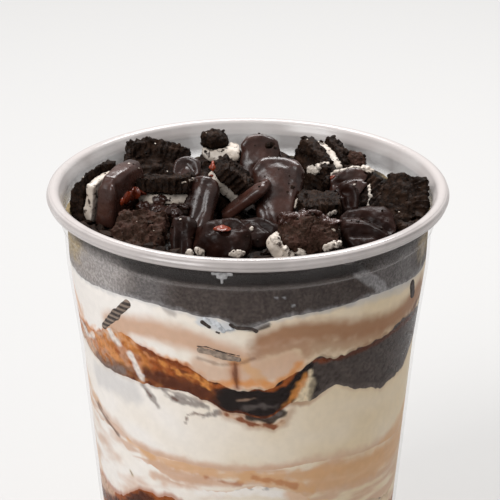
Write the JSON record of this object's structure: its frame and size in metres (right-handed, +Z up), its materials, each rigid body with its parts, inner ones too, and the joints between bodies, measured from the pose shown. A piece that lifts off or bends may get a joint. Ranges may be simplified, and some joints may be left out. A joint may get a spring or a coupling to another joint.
{
  "type": "ice cream sundae in a clear cup",
  "caption": "Clear plastic cup with a rolled rim, filled with layers of ice cream, fudge and caramel, under a heap of broken dark sandwich cookies",
  "frame": {"origin": "centre of the cup's footprint, on the plane that it stands on", "axes": "+Z up along the cup's axis; -Y towards the viewer of the picture; +X to the viewer's right"},
  "size_m": [0.095, 0.095, 0.1103],
  "materials": {
    "clear_plastic": "clear moulded plastic, slightly frosted by cold",
    "coffee_ice_cream": "soft coffee-coloured ice cream",
    "ice_cream": "soft cream-coloured ice cream",
    "fudge": "dark glossy fudge",
    "caramel": "soft orange-brown caramel",
    "cookie_wafer": "dry, crumbly, near-black cookie",
    "cookie_filling": "stiff off-white cream",
    "fudge_glaze": "smooth dark brown glaze"
  },
  "bodies": {
    "root": {"cup": "clear_plastic", "ice_cream_base": "coffee_ice_cream", "ice_cream_lower": "coffee_ice_cream", "ice_cream_middle": "ice_cream", "ice_cream_top": "ice_cream", "fudge_lower": "fudge", "fudge_upper": "fudge", "caramel_swirl": "caramel", "cookie_crumbs": "cookie_wafer", "back_crumb": "cookie_wafer", "back_left_wafer": "cookie_wafer", "back_right_cookie_back": "cookie_wafer", "back_right_cookie_front": "cookie_wafer", "back_right_crumb": "cookie_wafer", "back_wafer": "cookie_wafer", "flat_cookie_back": "cookie_wafer", "flat_cookie_front": "cookie_wafer", "front_left_wafer": "cookie_wafer", "front_right_chunk": "cookie_wafer", "left_cookie_back": "cookie_wafer", "middle_cookie_back": "cookie_wafer", "middle_cookie_front": "cookie_wafer", "right_back_wafer": "cookie_wafer", "right_fluted_wafer": "cookie_wafer", "right_wafer": "cookie_wafer", "back_cream": "cookie_filling", "back_right_cookie_filling": "cookie_filling", "flat_cookie_filling": "cookie_filling", "left_cookie_filling": "cookie_filling", "middle_cookie_filling": "cookie_filling", "front_right_cream": "cookie_filling", "front_chunk": "fudge_glaze", "glazed_back": "fudge_glaze", "glazed_bar": "fudge_glaze", "glazed_button": "fudge_glaze", "glazed_centre": "fudge_glaze", "glazed_curl": "fudge_glaze", "glazed_front_left": "fudge_glaze", "glazed_front_right": "fudge_glaze", "glazed_leaf": "fudge_glaze", "glazed_right": "fudge_glaze", "left_cookie_glazed": "fudge_glaze", "middle_lump": "fudge_glaze"}
  },
  "joints": []
}
